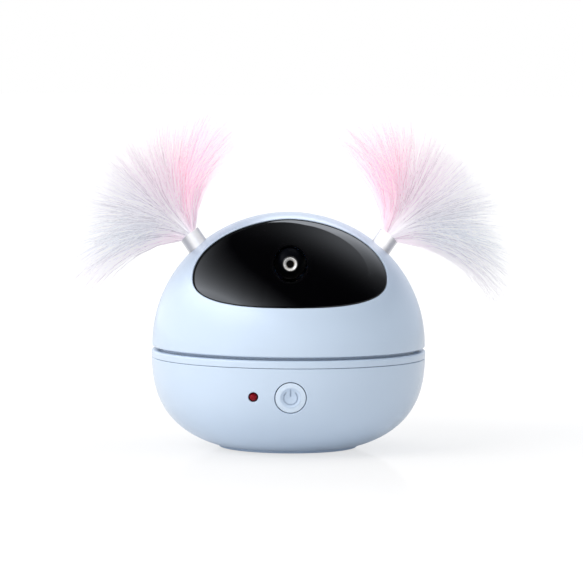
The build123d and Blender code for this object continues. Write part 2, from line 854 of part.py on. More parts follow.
# ================================================================ head: chassis and hub
head_board_posts = [(side * (head_board_half_x - 3.0), y) for side in (-1, 1) for y in (12.0, 28.0)]
yoke_half_x = ball_radius + yoke_ear_gap + yoke_ear + yoke_foot
yoke_screw_x = yoke_half_x - yoke_foot / 2
yoke_screw_y = (yoke_depth[0] + 4.0, yoke_depth[1] - 4.0)
yoke_screw_places = [(side * yoke_screw_x, y) for side in (-1, 1) for y in yoke_screw_y]


def head_chassis():
    """Round plate inside the dome that carries the hub, the laser yoke and the head board."""
    low, top = chassis_z, chassis_top_z
    plate = disc(chassis_radius, low, top) - disc(hub_bore, low - 1, top + 1)
    for x, y in head_board_posts:
        plate = plate + disc(boss_radius - 0.4, top, top + head_post_height, x, y)
        plate = plate - disc(screw_radius + fit, top - 1, top + head_post_height + 1, x, y)
    for x, y in ring_points(head_screw_ring, head_screw_angles):
        plate = plate - disc(screw_radius + screw_hole_gap, low - 1, top + 1, x, y)
    for x, y in ring_points(hub_screw_ring, hub_screw_angles):
        plate = plate - disc(screw_radius + screw_hole_gap, low - 1, top + 1, x, y)
    for x, y in yoke_screw_places:
        plate = plate - disc(screw_radius + fit, low - 1, top + 1, x, y)
    return plate


def head_screws():
    points = ring_points(head_screw_ring, head_screw_angles)
    return together([screw(x, y, chassis_z, -1, chassis + screw_bite) for x, y in points])


def hub_shaft():
    """Hollow hub: a flange under the chassis and a tube that turns in the bush."""
    low = bush_low_z - thrust_gap - washer_thickness - hub_nut_height - hub_tail
    hub = disc(hub_radius, low, chassis_z) + disc(hub_flange_radius, chassis_z - hub_flange, chassis_z)
    hub = hub - disc(hub_bore, low - 1, chassis_z + 1)
    for x, y in ring_points(hub_screw_ring, hub_screw_angles):
        hub = hub - disc(screw_radius + fit, chassis_z - hub_flange - 1, chassis_z + 1, x, y)
    return hub


def hub_screws():
    points = ring_points(hub_screw_ring, hub_screw_angles)
    return together([screw(x, y, chassis_top_z, 1, chassis + hub_flange + hub_gear_width / 2) for x, y in points])


def hub_washer():
    top = bush_low_z - thrust_gap
    return tube(washer_radius, hub_radius + fit, top - washer_thickness, top)


def hub_nut():
    """Hexagon nut that holds the washer under the bush."""
    top = bush_low_z - thrust_gap - washer_thickness
    nut = extrude(Pos(0, 0, top - hub_nut_height) * RegularPolygon(washer_radius, 6), hub_nut_height)
    return nut - disc(hub_radius + fit, top - hub_nut_height - 1, top + 1)


# ================================================================ head: slip ring brushes
def at_brush(shape):
    """Turns a shape made on the +X side to the brush position."""
    return Rot(0, 0, brush_angle) * shape


def brush_block():
    """Insulating block under the chassis that holds both brushes."""
    x_low = track_radii[0] - 2.0
    x_high = track_radii[1] + 2.0
    return at_brush(block((x_low, x_high), (0, 3.0), (chassis_z - brush_block_height, chassis_z)))


def contact_brushes():
    """Two bent copper strips, each lying just over its track."""
    low = deck_top_z + ring_board_thickness + track_height + brush_gap
    half = brush_width / 2
    strips = []
    for radius in track_radii:
        across = (radius - half, radius + half)
        pad = block(across, (1.5 - brush_length, 1.5), (low, low + brush_thickness))
        leg = block(across, (1.5 - brush_thickness, 1.5), (low, chassis_z - brush_block_height))
        strips.append(at_brush(pad + leg))
    return together(strips)


# ================================================================ head: dome and visor
def visor_prism(grow):
    """The visor's front outline, made larger by grow, cut straight through the dome's front."""
    across = visor_half_width + grow
    steps = 40
    points = []
    for i in range(steps):
        t = 2 * math.pi * i / steps
        upper = math.sin(t) >= 0
        power = visor_top_power if upper else visor_low_power
        rise = (visor_rise if upper else visor_drop) + grow
        x = math.copysign(abs(math.cos(t)) ** (2 / power), math.cos(t)) * across
        z = math.copysign(abs(math.sin(t)) ** (2 / power), math.sin(t)) * rise
        points.append((x, visor_widest_z + z))
    edge = Spline(*points, periodic=True)
    return extrude(Plane.XZ * make_face(edge), dome_radius + 5)


eye_opening_radius = ball_radius + ball_gap


def eye_opening():
    return rod_y(eye_opening_radius, -dome_radius - 1, eye_pivot_y, 0, eye_z)


def plume_root_z():
    share = math.sqrt(1 - (plume_root_x / dome_radius) ** 2)
    return dome_centre_z + dome_height * share


def plume_place(side):
    """Frame on the dome's surface whose Z axis runs out along the ferrule."""
    lean = math.radians(plume_tilt)
    outward = (side * math.sin(lean), 0, math.cos(lean))
    across = (side * math.cos(lean), 0, -math.sin(lean))
    return Location(Plane(origin=(side * plume_root_x, 0, plume_root_z()), x_dir=across, z_dir=outward))


def upper_shell():
    """Dome with the visor's pocket and window, four screw bosses and two plume holes."""
    pocket = visor_prism(0) - dome_solid(visor_thickness + bond_gap)
    shell = dome_solid(0) - pocket
    front_edge = edges_where(shell, lambda point: on_dome(point) and point.Y < -1)
    shell = fillet(front_edge, visor_edge_round)
    shell = shell - dome_solid(wall) - visor_prism(-visor_ledge)
    bottom_edges = shell.edges().filter_by(GeomType.CIRCLE).group_by(Axis.Z)[0]
    shell = fillet(bottom_edges.sort_by(lambda edge: edge.length)[-1:], dome_edge_round)
    merged = dome_solid(wall / 2)
    for x, y in ring_points(head_screw_ring, head_screw_angles):
        boss = disc(boss_radius, chassis_top_z, dome_centre_z + dome_height, x, y) & merged
        shell = shell + boss
    for x, y in ring_points(head_screw_ring, head_screw_angles):
        shell = shell - disc(screw_radius + fit, chassis_top_z - 1, chassis_top_z + screw_bite + pilot_spare, x, y)
    for side in (-1, 1):
        shell = shell - plume_place(side) * disc(ferrule_radius + button_gap, -8, 8)
    return shell


def visor():
    """Black lens bonded into the dome's pocket, flush with the dome, with a round opening for the eye."""
    lens = (dome_solid(0) - dome_solid(visor_thickness)) & visor_prism(-visor_side_gap)
    lens = lens - eye_opening()
    return fillet(edges_where(lens, on_dome), visor_edge_round)


def plume_socket(side):
    """Closed cup under the dome that the ferrule plugs into, with a flange bonded to the dome."""
    inner = ferrule_radius + socket_fit
    outer = inner + socket_wall
    deep = -ferrule_in - free_gap
    cup = disc(outer, deep - socket_wall, 4) + disc(outer + 2.0, -4.4, 4)
    cup = plume_place(side) * (cup - disc(inner, deep, 6))
    return cup & dome_solid(wall + bond_gap / 2)


# ================================================================ head: laser yoke and tilt drive
tilt_distance = tilt_module * (sector_teeth + tilt_teeth) / 2
tilt_y = eye_pivot_y + tilt_distance * math.cos(math.radians(tilt_angle))
tilt_z = eye_z + tilt_distance * math.sin(math.radians(tilt_angle))
ear_inner_x = ball_radius + yoke_ear_gap
ear_outer_x = ear_inner_x + yoke_ear
sector_low_x = ear_outer_x + sector_gap
sector_high_x = sector_low_x + sector_width


def plate_yz(points, x_low, x_high):
    """Plate across X whose outline is given as (y, z) corners."""
    return extrude(Plane.YZ.offset(x_low) * make_face(outline(*points)), x_high - x_low)


def laser_yoke():
    """Foot plate with two ears for the eye's pivot pins and a saddle for the tilt motor."""
    front, back = yoke_depth
    foot_top = chassis_top_z + yoke_plate
    yoke = block((-yoke_half_x, yoke_half_x), (front, back), (chassis_top_z, foot_top))
    ear_points = (
        (front, chassis_top_z),
        (back, chassis_top_z),
        (tilt_y + tilt_motor_radius + 1.5, tilt_z),
        (eye_pivot_y + ear_round, eye_z),
        (eye_pivot_y - ear_round, eye_z),
    )
    for side in (-1, 1):
        x_low, x_high = sorted((side * ear_inner_x, side * ear_outer_x))
        yoke = yoke + plate_yz(ear_points, x_low, x_high) + rod_x(ear_round, x_low, x_high, eye_pivot_y, eye_z)
    half = tilt_motor_radius + 1.5
    saddle_low = tilt_z - tilt_motor_radius - 2.0
    saddle = block((-ear_inner_x, ear_inner_x), (tilt_y - half, tilt_y + half), (saddle_low, tilt_z))
    yoke = yoke + saddle - rod_x(tilt_motor_radius + fit, -ear_inner_x, ear_inner_x, tilt_y, tilt_z)
    yoke = yoke - rod_x(pivot_pin_radius + fit, -ear_outer_x - 1, ear_outer_x + 1, eye_pivot_y, eye_z)
    yoke = yoke - rod_x(tilt_shaft_radius + free_gap, ear_inner_x - 1, ear_outer_x + 1, tilt_y, tilt_z)
    for x, y in yoke_screw_places:
        yoke = yoke - disc(screw_radius + screw_hole_gap, chassis_top_z - 1, foot_top + 1, x, y)
    return yoke


def yoke_screws():
    head_z = chassis_top_z + yoke_plate
    return together([screw(x, y, head_z, 1, yoke_plate + chassis) for x, y in yoke_screw_places])


def tilt_motor():
    """Small round gearmotor in the saddle, with the seat for its shaft."""
    half = tilt_motor_length / 2
    can = rod_x(tilt_motor_radius, -half, half, tilt_y, tilt_z)
    return can - rod_x(tilt_shaft_radius + fit, half - 2.0, half + 1, tilt_y, tilt_z)


def tilt_clip():
    """Spring strap over the tilt motor."""
    inner = tilt_motor_radius + fit
    outer = inner + clip_wall
    width = 5.0
    strap = rod_x(outer, -width / 2, width / 2, tilt_y, tilt_z)
    feet = block((-width / 2, width / 2), (tilt_y - outer - 0.8, tilt_y + outer + 0.8), (tilt_z, tilt_z + 0.8))
    upper = block((-width, width), (tilt_y - 10, tilt_y + 10), (tilt_z, tilt_z + 10))
    return ((strap + feet) & upper) - rod_x(inner, -width, width, tilt_y, tilt_z)


def in_yz(face, x, y, z):
    """Stands a flat face, drawn with its X towards +Y and its Y up, across the X axis."""
    return Plane(origin=(x, y, z), x_dir=(0, 1, 0), z_dir=(1, 0, 0)) * face


def sector_gear():
    """Part of a gear on the eye's pivot pin, with a round hub."""
    face = gear_face(sector_teeth, tilt_module, tilt_angle)
    reach = tilt_module * sector_teeth
    half = math.radians(sector_kept * 360 / sector_teeth / 2)
    middle = math.radians(tilt_angle)
    corners = [(reach * math.cos(middle + s * half), reach * math.sin(middle + s * half)) for s in (-1, 1)]
    wedge = make_face(outline((0, 0), corners[0], corners[1]))
    hub = Circle(3.0)
    kept = (face & wedge) + hub - Circle(pivot_pin_radius + fit)
    return extrude(in_yz(kept, sector_low_x, eye_pivot_y, eye_z), sector_width)


def tilt_pinion():
    """Small gear with its own shaft, driven by the tilt motor."""
    face = gear_face(tilt_teeth, tilt_module, facing_gap(tilt_angle + 180, tilt_teeth))
    low = sector_low_x - 0.2
    wheel = extrude(in_yz(face, low, tilt_y, tilt_z), sector_width + 0.4)
    half = tilt_motor_length / 2
    return wheel + rod_x(tilt_shaft_radius, half - 1.8, low + sector_width + 0.8, tilt_y, tilt_z)


# ================================================================ laser eye
ball_front_y = eye_pivot_y - math.sqrt(ball_radius**2 - laser_radius**2)
bezel_front_y = ball_front_y - bezel_stand_out
bezel_back_y = bezel_front_y + 1.8
barrel_back_y = bezel_back_y + laser_length


def laser_ball():
    """Black ball with its bore, a sleeve behind it and a pivot pin at each side."""
    ball = Pos(0, eye_pivot_y, eye_z) * Sphere(ball_radius)
    sleeve_back = barrel_back_y - 3.0
    ball = ball + rod_y(laser_radius + 1.2, eye_pivot_y, sleeve_back, 0, eye_z)
    ball = ball + rod_x(pivot_pin_radius, -ear_outer_x, sector_high_x + 0.3, eye_pivot_y, eye_z)
    return ball - rod_y(laser_radius + fit, ball_front_y - 9, sleeve_back + 1, 0, eye_z)


def laser_barrel():
    """Brass laser module behind the bezel."""
    return rod_y(laser_radius, bezel_back_y, barrel_back_y, 0, eye_z)


def laser_bezel():
    """Bright ring at the front of the laser."""
    ring = rod_y(laser_radius, bezel_front_y, bezel_back_y, 0, eye_z)
    front_edge = ring.edges().filter_by(GeomType.CIRCLE).group_by(Axis.Y)[0]
    ring = fillet(front_edge, 0.5)
    return ring - rod_y(bezel_hole_radius, bezel_front_y - 1, bezel_back_y + 1, 0, eye_z)


def laser_lens():
    """Small clear lens deep in the ring."""
    return rod_y(bezel_hole_radius - fit, bezel_back_y - 0.7, bezel_back_y, 0, eye_z)


# ================================================================ head board
def head_board():
    low = chassis_top_z + head_post_height
    y_low, y_high = head_board_y
    plate = block((-head_board_half_x, head_board_half_x), (y_low, y_high), (low, low + board))
    for x, y in head_board_posts:
        plate = plate - disc(screw_radius + screw_hole_gap, low - 1, low + board + 1, x, y)
    return plate


def head_board_screws():
    head_z = chassis_top_z + head_post_height + board
    return together([screw(x, y, head_z, 1, screw_bite - pilot_spare) for x, y in head_board_posts])


# ================================================================ plumes
def ferrule(side):
    """Bright thin tube that holds the plume's roots, closed at its inner end."""
    shell = disc(ferrule_radius, -ferrule_in, ferrule_out)
    shell = shell - disc(ferrule_radius - ferrule_wall, -ferrule_in + ferrule_wall, ferrule_out + 1)
    return plume_place(side) * shell


def plume(side):
    """Space filled by the soft strands: a stem in the ferrule that opens into a trumpet with a domed end."""
    stem = ferrule_radius - ferrule_wall - fit
    base = ferrule_out + plume_mouth_rise
    rim_turn = math.radians(plume_rim_angle)
    rim = (plume_rim_reach * math.sin(rim_turn), plume_rim_reach * math.cos(rim_turn))
    mouth_turn = math.radians(plume_mouth_angle)
    tuft = revolved(
        Line((0, 0), (plume_mouth_radius, 0)),
        TangentArc((plume_mouth_radius, 0), rim, tangent=(math.sin(mouth_turn), math.cos(mouth_turn))),
        TangentArc((0, plume_reach), rim, tangent=(1, 0)),
        Line((0, plume_reach), (0, 0)),
    )
    tuft = Pos(0, 0, base) * Rot(0, plume_droop, 0) * tuft
    return plume_place(side) * (disc(stem, ferrule_out - plume_stem_depth, base + plume_mouth_rise) + tuft)


# ================================================================ output
nodes = {
    "lower_shell": lower_shell(),
    "base_deck": base_deck(),
    "bottom_cover": bottom_cover(),
    "rubber_feet": rubber_feet(),
    "bottom_screws": bottom_screws(),
    "deck_screws": deck_screws(),
    "swivel_bush": swivel_bush(),
    "ring_board": ring_board(),
    "ring_tracks": ring_tracks(),
    "battery_tray": battery_tray(),
    "battery_cell": battery_cell(),
    "battery_contacts": battery_contacts(),
    "tray_screws": tray_screws(),
    "main_board": main_board(),
    "controller_chip": controller_chip(),
    "usb_socket": usb_socket(),
    "main_board_screws": main_board_screws(),
    "switch_board": switch_board(),
    "tact_switch": tact_switch(),
    "status_led": status_led(),
    "lamp_spacer": lamp_spacer(),
    "switch_board_screws": switch_board_screws(),
    "drive_motor": drive_motor(),
    "drive_gearbox": drive_gearbox(),
    "drive_bracket": drive_bracket(),
    "bracket_screws": bracket_screws(),
    "power_button": power_button(),
    "switch_plunger": switch_plunger(),
    "drive_pinion": drive_pinion(),
    "drive_shaft": drive_shaft(),
    "upper_shell": upper_shell(),
    "visor": visor(),
    "head_chassis": head_chassis(),
    "head_screws": head_screws(),
    "hub_shaft": hub_shaft(),
    "hub_gear": hub_gear(),
    "hub_screws": hub_screws(),
    "hub_washer": hub_washer(),
    "hub_nut": hub_nut(),
    "brush_block": brush_block(),
    "contact_brushes": contact_brushes(),
    "left_socket": plume_socket(-1),
    "right_socket": plume_socket(1),
    "laser_yoke": laser_yoke(),
    "yoke_screws": yoke_screws(),
    "tilt_motor": tilt_motor(),
    "tilt_clip": tilt_clip(),
    "head_board": head_board(),
    "head_board_screws": head_board_screws(),
    "laser_ball": laser_ball(),
    "laser_barrel": laser_barrel(),
    "laser_bezel": laser_bezel(),
    "laser_lens": laser_lens(),
    "sector_gear": sector_gear(),
    "tilt_pinion": tilt_pinion(),
    "left_ferrule": ferrule(-1),
    "right_ferrule": ferrule(1),
    "left_plume": plume(-1),
    "right_plume": plume(1),
}

os.makedirs("parts", exist_ok=True)
for name, shape in nodes.items():
    export_step(shape, f"parts/{name}.step")
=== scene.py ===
import math

import bpy
from mathutils import Matrix, Vector


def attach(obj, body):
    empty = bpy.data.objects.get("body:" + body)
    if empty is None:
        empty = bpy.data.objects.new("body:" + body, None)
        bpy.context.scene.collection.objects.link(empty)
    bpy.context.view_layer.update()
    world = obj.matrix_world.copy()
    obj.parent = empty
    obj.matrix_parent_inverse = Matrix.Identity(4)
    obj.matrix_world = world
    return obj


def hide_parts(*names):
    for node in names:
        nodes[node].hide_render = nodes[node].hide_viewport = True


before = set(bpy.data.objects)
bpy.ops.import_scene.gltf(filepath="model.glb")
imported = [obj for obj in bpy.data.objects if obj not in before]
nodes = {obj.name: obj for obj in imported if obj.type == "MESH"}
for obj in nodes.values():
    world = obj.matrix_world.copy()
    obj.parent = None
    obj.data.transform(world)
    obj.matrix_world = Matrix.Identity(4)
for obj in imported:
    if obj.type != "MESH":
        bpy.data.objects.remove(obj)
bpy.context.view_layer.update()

# ---------------------------------------------------------------------------------------------
# Studio: a white table top that runs back without an edge, under soft light from the upper left.
# The camera stands a metre and a half away, a little above the middle of the toy. Gloss mirrors
# the glowing table, a tall box light on the left, a window high behind and a glow in the far corner.

scene = bpy.context.scene
scene.view_settings.view_transform = "Standard"

camera_distance = 1.5
camera_height_angle = math.radians(4.2)
camera_turn = math.radians(0.7)
camera_roll = math.radians(0.4)
camera_target = Vector((0.0010, 0.0, 0.0596))
picture_width = 0.22504
sensor_width = 36.0

camera_data = bpy.data.cameras.new("studio_camera")
camera_data.sensor_fit = "HORIZONTAL"
camera_data.sensor_width = sensor_width
camera_data.lens = sensor_width * camera_distance / picture_width
camera_data.clip_end = 50.0
camera = bpy.data.objects.new("studio_camera", camera_data)
scene.collection.objects.link(camera)
back = Vector((
    -math.sin(camera_turn) * math.cos(camera_height_angle),
    -math.cos(camera_turn) * math.cos(camera_height_angle),
    math.sin(camera_height_angle),
))
facing = back.to_track_quat("Z", "Y").to_matrix().to_4x4()
camera_place = Matrix.Translation(camera_target + back * camera_distance)
camera.matrix_world = camera_place @ facing @ Matrix.Rotation(camera_roll, 4, "Z")
scene.camera = camera


class Wire:
    """One value in a tree of nodes. Python operators on it add Math nodes."""

    def __init__(self, tree, socket=None):
        self.tree = tree
        self.socket = socket

    def node(self, kind, settings=None, inputs=None, output=0):
        """Adds any node: its settings first, then the values or links of its sockets."""
        made = self.tree.nodes.new(kind)
        for name, value in (settings or {}).items():
            if name == "stops":
                ramp = made.color_ramp.elements
                while len(ramp) < len(value):
                    ramp.new(0.5)
                for stop, (place, colour) in zip(ramp, value):
                    stop.position = place
                    stop.color = (*colour, 1.0)
            else:
                setattr(made, name, value)
        for name, value in (inputs or {}).items():
            if isinstance(value, Wire):
                self.tree.links.new(value.socket, made.inputs[name])
            else:
                made.inputs[name].default_value = value
        return Wire(self.tree, made.outputs[output] if len(made.outputs) else None)

    def other(self, output):
        """Another output of the same node."""
        return Wire(self.tree, self.socket.node.outputs[output])

    def math(self, operation, *values):
        return self.node("ShaderNodeMath", {"operation": operation}, dict(enumerate(values)))

    def __add__(self, value):
        return self.math("ADD", self, value)

    def __radd__(self, value):
        return self.math("ADD", value, self)

    def __sub__(self, value):
        return self.math("SUBTRACT", self, value)

    def __rsub__(self, value):
        return self.math("SUBTRACT", value, self)

    def __mul__(self, value):
        return self.math("MULTIPLY", self, value)

    def __rmul__(self, value):
        return self.math("MULTIPLY", value, self)

    def __truediv__(self, value):
        return self.math("DIVIDE", self, value)

    def __rtruediv__(self, value):
        return self.math("DIVIDE", value, self)

    def __pow__(self, value):
        return self.math("POWER", self, value)

    def ramp(self, low, high):
        """0 below low, 1 above high, and a soft step between."""
        limits = {"Value": self, "From Min": low, "From Max": high}
        return self.node("ShaderNodeMapRange", {"interpolation_type": "SMOOTHSTEP"}, limits)

    def mix(self, first, second):
        """The first colour where this value is 0, the second where it is 1."""
        colours = {0: self, 6: first, 7: second}
        return self.node("ShaderNodeMix", {"data_type": "RGBA"}, colours, output=2)


world = bpy.data.worlds.new("studio")
scene.world = world
world.use_nodes = True
world.node_tree.nodes.clear()
sky = Wire(world.node_tree)
path = sky.node("ShaderNodeLightPath", output="Is Camera Ray")
direction = sky.node("ShaderNodeTexCoord", output="Generated")
right = sky.node("ShaderNodeSeparateXYZ", inputs={0: direction})
behind = right.other(1)
up = right.other(2)


def slope(level, to_right, to_back, to_top):
    """A light level that changes evenly with the direction looked in."""
    return level + to_right * right + to_back * behind + to_top * up


soft_light = slope(0.63, -0.24, -0.05, 0.10)
table_glow = 0.95 * (1.0 - up.ramp(0.22, 0.42))
box_light = slope(0.94, -4.67, -1.64, -5.88)
box_light = box_light.math("EXPONENT", box_light) - 0.10
box_light = box_light.math("MINIMUM", box_light, 3.7) * (0.15 + 0.85 * up.ramp(0.25, 0.52))
corner_glow = slope(-14.36, 6.30, 7.28, 10.20)
corner_glow = corner_glow.math("EXPONENT", corner_glow)
window_light = 3.49 - 4.40 * right
window_light = window_light.math("MINIMUM", window_light, 2.3)
window_left_end = 0.10
window_right_end = 0.30
past_left = (right - window_left_end).math("MINIMUM", right - window_left_end, 0.0)
past_right = (right - window_right_end).math("MAXIMUM", right - window_right_end, 0.0)
window_top = 0.70 + 0.35 * past_left - 0.12 * past_right
window = (window_top - up).ramp(-0.006, 0.006) * behind.ramp(0.02, 0.30) * up.ramp(0.36, 0.46)
window = window * right.ramp(-0.20, -0.05)
mirrored = table_glow.math("MAXIMUM", table_glow, window_light * window)
mirrored = mirrored.math("MAXIMUM", mirrored, corner_glow) + box_light.math("MAXIMUM", box_light, 0.0)
plain = path.math("MAXIMUM", path, path.other("Is Transmission Ray"))
glossy = path.other("Is Glossy Ray")
level = glossy * mirrored + (1.0 - glossy) * soft_light
level = plain + (1.0 - plain) * level
white = (1.0, 1.0, 1.0, 1.0)
cool_white = (0.925, 0.975, 1.06, 1.0)
tint = (glossy * (1.0 - plain)).mix(white, cool_white)
background = sky.node("ShaderNodeBackground", inputs={"Color": tint, "Strength": level})
sky.node("ShaderNodeOutputWorld", inputs={"Surface": background})

lamp_aim = Vector((0.0, 0.0, 0.06))


def soft_lamp(name, place, size, power, colour):
    """A square lamp aimed at the toy. It has a soft edge, and mirrors don't see it."""
    lamp = bpy.data.lights.new(name, "AREA")
    lamp.shape = "SQUARE"
    lamp.size = size
    lamp.energy = power
    lamp.color = colour
    holder = bpy.data.objects.new(name, lamp)
    scene.collection.objects.link(holder)
    turn = (Vector(place) - lamp_aim).to_track_quat("Z", "Y").to_matrix().to_4x4()
    holder.matrix_world = Matrix.Translation(Vector(place)) @ turn
    holder.visible_glossy = False


soft_lamp("key_lamp", (-0.90, -0.70, 0.85), 0.8, 10.4, (1.0, 0.930, 0.865))
soft_lamp("top_lamp", (0.15, 0.10, 1.40), 0.9, 4.2, (1.0, 1.0, 1.0))

floor_reach = 6.0
floor_mesh = bpy.data.meshes.new("table_top")
corners = [(floor_reach * x, floor_reach * y, 0.0) for x, y in ((-1, -1), (1, -1), (1, 1), (-1, 1))]
floor_mesh.from_pydata(corners, [], [(0, 1, 2, 3)])
floor = bpy.data.objects.new("table_top", floor_mesh)
scene.collection.objects.link(floor)
floor_material = bpy.data.materials.new("table_top")
floor_material.use_nodes = True
floor_material.node_tree.nodes.clear()
top = Wire(floor_material.node_tree)
seen = top.node("ShaderNodeLightPath", output="Is Camera Ray")
spot = top.node("ShaderNodeTexCoord", output="Object")
away = top.node("ShaderNodeVectorMath", {"operation": "LENGTH"}, {0: spot}, output=1)
brightness = 1.04 + 0.25 * away.ramp(0.08, 0.34)
matt = top.node("ShaderNodeBsdfDiffuse", inputs={"Color": (0.86, 0.86, 0.86, 1.0)})
glow = top.node("ShaderNodeEmission", inputs={"Color": white, "Strength": brightness})
lit = top.node("ShaderNodeMixShader", inputs={0: 0.12 + 0.60 * seen, 1: matt, 2: glow})
polish = top.node("ShaderNodeBsdfGlossy", inputs={"Color": white, "Roughness": 0.07})
both = top.node("ShaderNodeMixShader", inputs={0: 0.10, 1: lit, 2: polish})
top.node("ShaderNodeOutputMaterial", inputs={"Surface": both})
floor_mesh.materials.append(floor_material)

# ---------------------------------------------------------------------------------------------
# Bowl: one injection-moulded shell of pale blue ABS with a fine satin gloss. The rim band above
# its parting line belongs to the deck, which is moulded in the same plastic and screwed in.


def start_material(name):
    """A new material with an empty tree of nodes."""
    material = bpy.data.materials.new(name)
    material.use_nodes = True
    material.node_tree.nodes.clear()
    return material, Wire(material.node_tree)


def finish_material(tree, varying, fixed):
    """Ends a tree in one Principled shader and the material's output."""
    surface = tree.node("ShaderNodeBsdfPrincipled", inputs={**fixed, **varying})
    tree.node("ShaderNodeOutputMaterial", inputs={"Surface": surface})


def noise(tree, place, scale, detail=2.0, roughness=0.5):
    """Cloudy pattern between 0 and 1."""
    settings = {"Vector": place, "Scale": scale, "Detail": detail, "Roughness": roughness}
    return tree.node("ShaderNodeTexNoise", inputs=settings)


def opaque(colour):
    return (*colour, 1.0)


def darker(colour, amount):
    """The colour with this share of its light taken away."""
    return opaque(channel * (1.0 - amount) for channel in colour)


def moulded_plastic(name, colour, roughness, mottle=0.03, grain=0.000004, coat=0.0, index=1.5):
    """Smooth moulded plastic: slow flow marks in the colour and gloss, and a very fine tooled grain."""
    material, tree = start_material(name)
    place = tree.node("ShaderNodeTexCoord", output="Object")
    flow = noise(tree, place, 26.0, 3.0)
    speck = noise(tree, place, 2600.0, 2.0)
    tint = flow.ramp(0.3, 0.7).mix(darker(colour, mottle), opaque(colour))
    shine = roughness + 0.05 * flow + 0.04 * speck - 0.04
    relief = speck + 0.5 * noise(tree, place, 700.0, 1.0)
    bump = tree.node("ShaderNodeBump", inputs={"Height": relief, "Strength": 0.25, "Distance": grain})
    varying = {"Base Color": tint, "Roughness": shine, "Normal": bump}
    finish_material(tree, varying, {"Coat Weight": coat, "Coat Roughness": 0.12, "IOR": index})
    return material


def dress(material, *names):
    """Gives CAD nodes their finish through the slots of their objects."""
    for name in names:
        mesh = nodes[name].data
        if not mesh.materials:
            mesh.materials.append(material)
        for slot in range(len(mesh.materials)):
            mesh.materials[slot] = material


shell_blue = moulded_plastic("pale_blue_shell", (0.548, 0.672, 0.832), 0.30, coat=0.35)
dress(shell_blue, "lower_shell", "base_deck")

# ---------------------------------------------------------------------------------------------
# Underside: a cover of the same blue plastic with a coarser matt grain, closed by three steel
# screws and carried on four grey rubber feet that are glued in shallow recesses.

cover_blue = moulded_plastic("pale_blue_cover", (0.480, 0.600, 0.770), 0.48, mottle=0.05, grain=0.00003)
dress(cover_blue, "bottom_cover")


def soft_rubber(name, colour):
    """Matt rubber with a dusty bloom and a pebbled skin."""
    material, tree = start_material(name)
    place = tree.node("ShaderNodeTexCoord", output="Object")
    bloom = noise(tree, place, 180.0, 4.0)
    pebbles = {"Vector": place, "Scale": 2200.0}
    pebble = tree.node("ShaderNodeTexVoronoi", {"feature": "SMOOTH_F1"}, pebbles)
    tint = bloom.ramp(0.35, 0.75).mix(opaque(colour), opaque(0.8 * channel + 0.06 for channel in colour))
    bump = tree.node("ShaderNodeBump", inputs={"Height": pebble, "Strength": 0.5, "Distance": 0.00006})
    varying = {"Base Color": tint, "Roughness": 0.72 + 0.15 * bloom, "Normal": bump}
    finish_material(tree, varying, {"Sheen Weight": 0.2})
    return material


dress(soft_rubber("foot_rubber", (0.19, 0.20, 0.22)), "rubber_feet")


def turned_metal(name, colour, roughness, across=(1.0, 1.0, 14.0), scratch=0.00001):
    """Metal with fine lines left by turning, drawing or brushing, and faint smears in its gloss."""
    material, tree = start_material(name)
    place = tree.node("ShaderNodeTexCoord", output="Object")
    stretched = tree.node("ShaderNodeMapping", inputs={"Vector": place, "Scale": across})
    lines = noise(tree, stretched, 420.0, 4.0, 0.6)
    smear = noise(tree, place, 90.0, 3.0)
    tint = lines.ramp(0.25, 0.8).mix(darker(colour, 0.14), opaque(colour))
    shine = roughness + 0.10 * lines + 0.08 * smear - 0.06
    bump = tree.node("ShaderNodeBump", inputs={"Height": lines, "Strength": 0.4, "Distance": scratch})
    varying = {"Base Color": tint, "Roughness": shine, "Normal": bump}
    finish_material(tree, varying, {"Metallic": 1.0})
    return material


screw_steel = turned_metal("zinc_screw_steel", (0.62, 0.62, 0.60), 0.30, (1.0, 1.0, 1.0))
dress(screw_steel, "bottom_screws", "deck_screws", "tray_screws", "main_board_screws", "switch_board_screws",
      "bracket_screws")

# ---------------------------------------------------------------------------------------------
# Power: one lithium cell in a shrink sleeve lies in a black tray between two sprung contacts.
# Behind it the main board carries the controller and a steel-shelled charging socket.

part_black = moulded_plastic("black_part_plastic", (0.022, 0.023, 0.026), 0.42, mottle=0.2, grain=0.00002)
dress(part_black, "battery_tray", "lamp_spacer", "brush_block")


def shrink_sleeve(name, colour):
    """Thin plastic sleeve shrunk on a cell: tight long wrinkles near its ends."""
    material, tree = start_material(name)
    place = tree.node("ShaderNodeTexCoord", output="Object")
    stretched = tree.node("ShaderNodeMapping", inputs={"Vector": place, "Scale": (1.0, 6.0, 6.0)})
    wrinkle = noise(tree, stretched, 110.0, 3.0)
    along = tree.node("ShaderNodeSeparateXYZ", inputs={0: place})
    ends = along.math("ABSOLUTE", along).ramp(0.014, 0.021)
    tint = wrinkle.ramp(0.3, 0.7).mix(darker(colour, 0.12), opaque(colour))
    relief = wrinkle * (0.3 + ends)
    bump = tree.node("ShaderNodeBump", inputs={"Height": relief, "Strength": 0.5, "Distance": 0.0001})
    varying = {"Base Color": tint, "Roughness": 0.22 + 0.12 * wrinkle, "Normal": bump}
    finish_material(tree, varying, {"IOR": 1.48})
    return material


dress(shrink_sleeve("cell_sleeve", (0.030, 0.130, 0.330)), "battery_cell")
spring_steel = turned_metal("spring_steel", (0.66, 0.65, 0.62), 0.24, (1.0, 1.0, 20.0))
dress(spring_steel, "battery_contacts", "tilt_clip")


